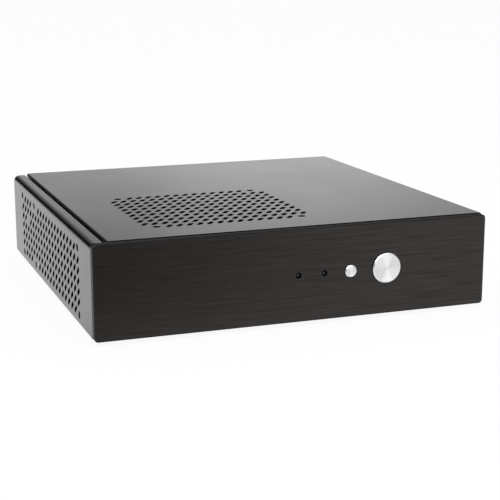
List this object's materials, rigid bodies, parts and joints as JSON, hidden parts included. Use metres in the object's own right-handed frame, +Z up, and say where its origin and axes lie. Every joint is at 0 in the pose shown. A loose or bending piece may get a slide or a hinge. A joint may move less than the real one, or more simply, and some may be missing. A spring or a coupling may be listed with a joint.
{
  "type": "computer case",
  "caption": "Thin desktop computer case: folded steel tray and hooked cover with slotted vents, thick front panel with two push buttons and two lights, drive bracket and rubber feet.",
  "frame": {"origin": "middle of the footprint, on the plane the feet stand on", "axes": "+X to the right seen from the front, +Y to the back, +Z up"},
  "size_m": [0.222, 0.2258, 0.0535],
  "materials": {
    "case_paint": "satin black paint on steel sheet",
    "panel_black": "black anodised aluminium, brushed from side to side",
    "spun_aluminium": "turned face with fine rings",
    "screen_mesh": "black moulded mesh",
    "switch_plastic": "moulded",
    "lens": "smoked epoxy lens",
    "board": "green solder mask",
    "zinc_steel": "zinc plated",
    "black_screw": "black zinc",
    "brass": "turned",
    "foot_rubber": "moulded rubber"
  },
  "bodies": {
    "case": {"chassis": "case_paint", "top_cover": "case_paint", "vent_screen": "screen_mesh", "side_screen": "screen_mesh", "front_panel": "panel_black", "power_switch": "switch_plastic", "reset_switch": "switch_plastic", "power_led": "lens", "drive_led": "lens", "front_board": "board", "lead_header": "switch_plastic", "front_board_posts": "zinc_steel", "front_board_screws": "zinc_steel", "panel_screws": "zinc_steel", "cover_screws": "black_screw", "board_standoffs": "brass", "drive_bracket": "zinc_steel", "bracket_screws": "zinc_steel", "foot_front_left": "foot_rubber", "foot_front_right": "foot_rubber", "foot_rear_left": "foot_rubber", "foot_rear_right": "foot_rubber"},
    "power_key": {"power_button": "spun_aluminium", "power_plunger": "switch_plastic"},
    "reset_key": {"reset_button": "spun_aluminium", "reset_plunger": "switch_plastic"}
  },
  "joints": [
    {"name": "power_press", "type": "slide", "parent": "case", "child": "power_key", "axis": [0, 1, 0], "range_m": [0, 0.0015], "stiffness_N_per_m": 800, "springref_m": -0.001},
    {"name": "reset_press", "type": "slide", "parent": "case", "child": "reset_key", "axis": [0, 1, 0], "range_m": [0, 0.0015], "stiffness_N_per_m": 600, "springref_m": -0.001}
  ]
}
